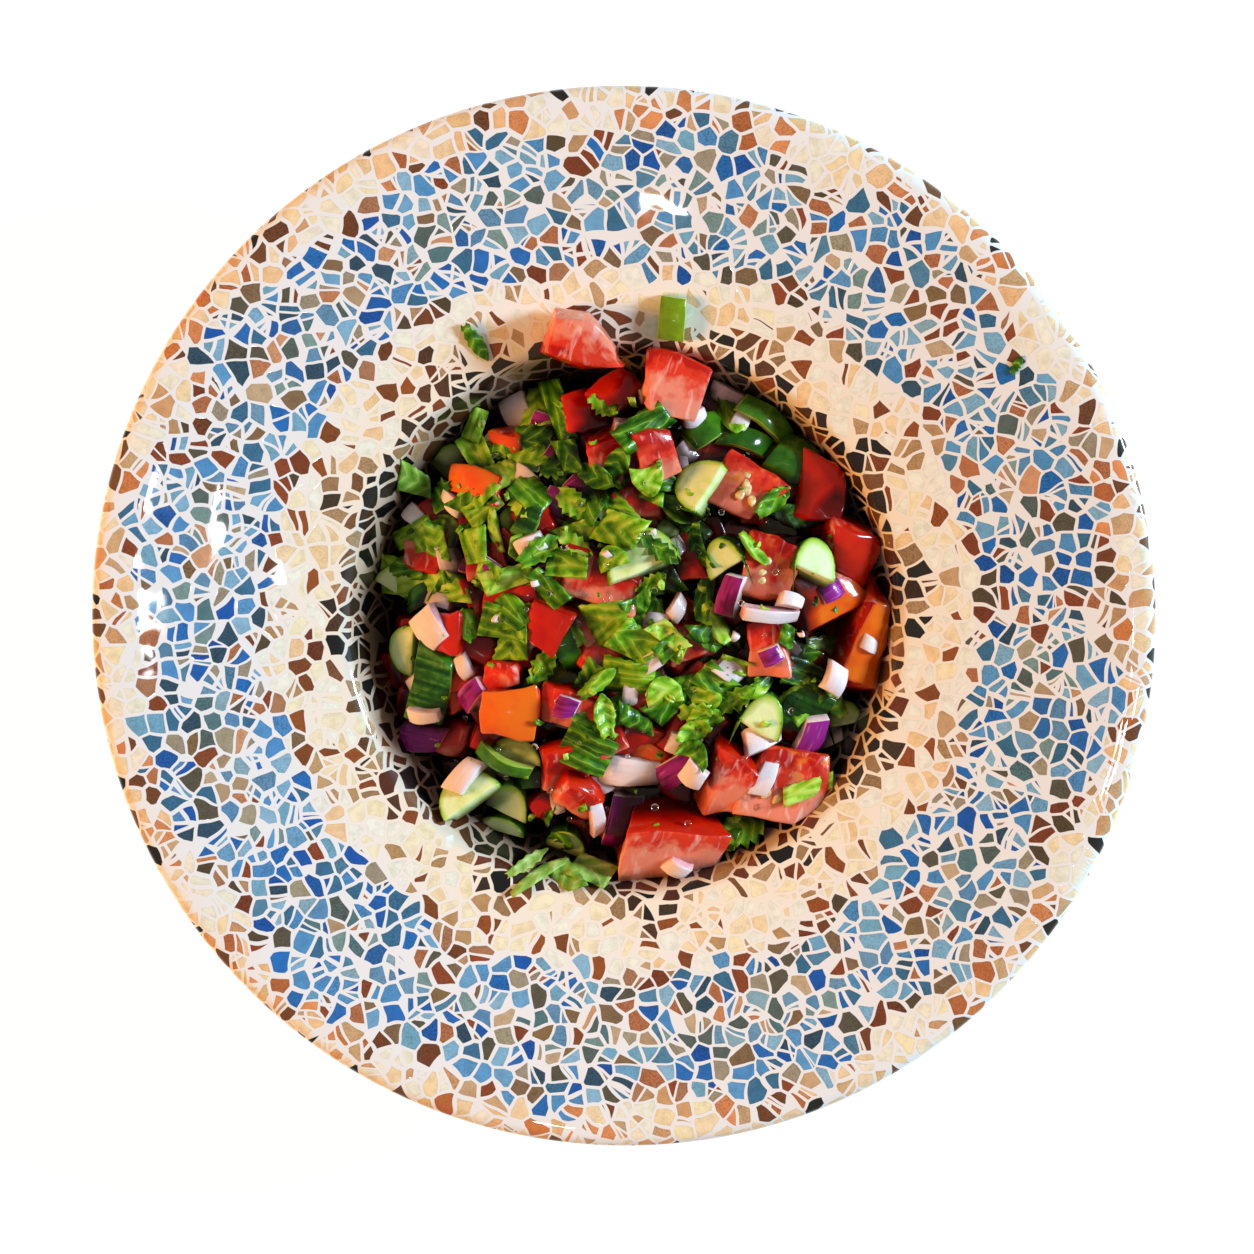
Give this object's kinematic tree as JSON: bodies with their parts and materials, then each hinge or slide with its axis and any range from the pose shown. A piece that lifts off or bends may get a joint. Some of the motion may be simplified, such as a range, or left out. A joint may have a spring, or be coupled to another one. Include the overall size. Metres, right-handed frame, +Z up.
{
  "type": "bowl of shepherd's salad",
  "caption": "Wide-rimmed glazed pottery bowl on a foot ring, filled with a heap of chopped tomato, cucumber, onion, pepper and parsley salad.",
  "frame": {"origin": "middle of the foot ring's underside, on the surface that the bowl stands on", "axes": "+Z straight up out of the bowl's mouth; +X to the right and +Y away in the picture"},
  "size_m": [0.28, 0.28, 0.0582],
  "materials": {
    "bowl": "clear gloss glaze over a broken-tile pattern",
    "salad": "wet, glossy cut vegetables and herbs",
    "rim_tomato_wedge": "wet tomato flesh and skin",
    "rim_pepper_strip": "wet green pepper",
    "rim_parsley_leaf": "chopped parsley leaf",
    "rim_parsley_fleck": "chopped parsley leaf"
  },
  "bodies": {
    "root": {"bowl": "bowl", "salad": "salad", "rim_tomato_wedge": "rim_tomato_wedge", "rim_pepper_strip": "rim_pepper_strip", "rim_parsley_leaf": "rim_parsley_leaf", "rim_parsley_fleck": "rim_parsley_fleck"}
  },
  "joints": []
}
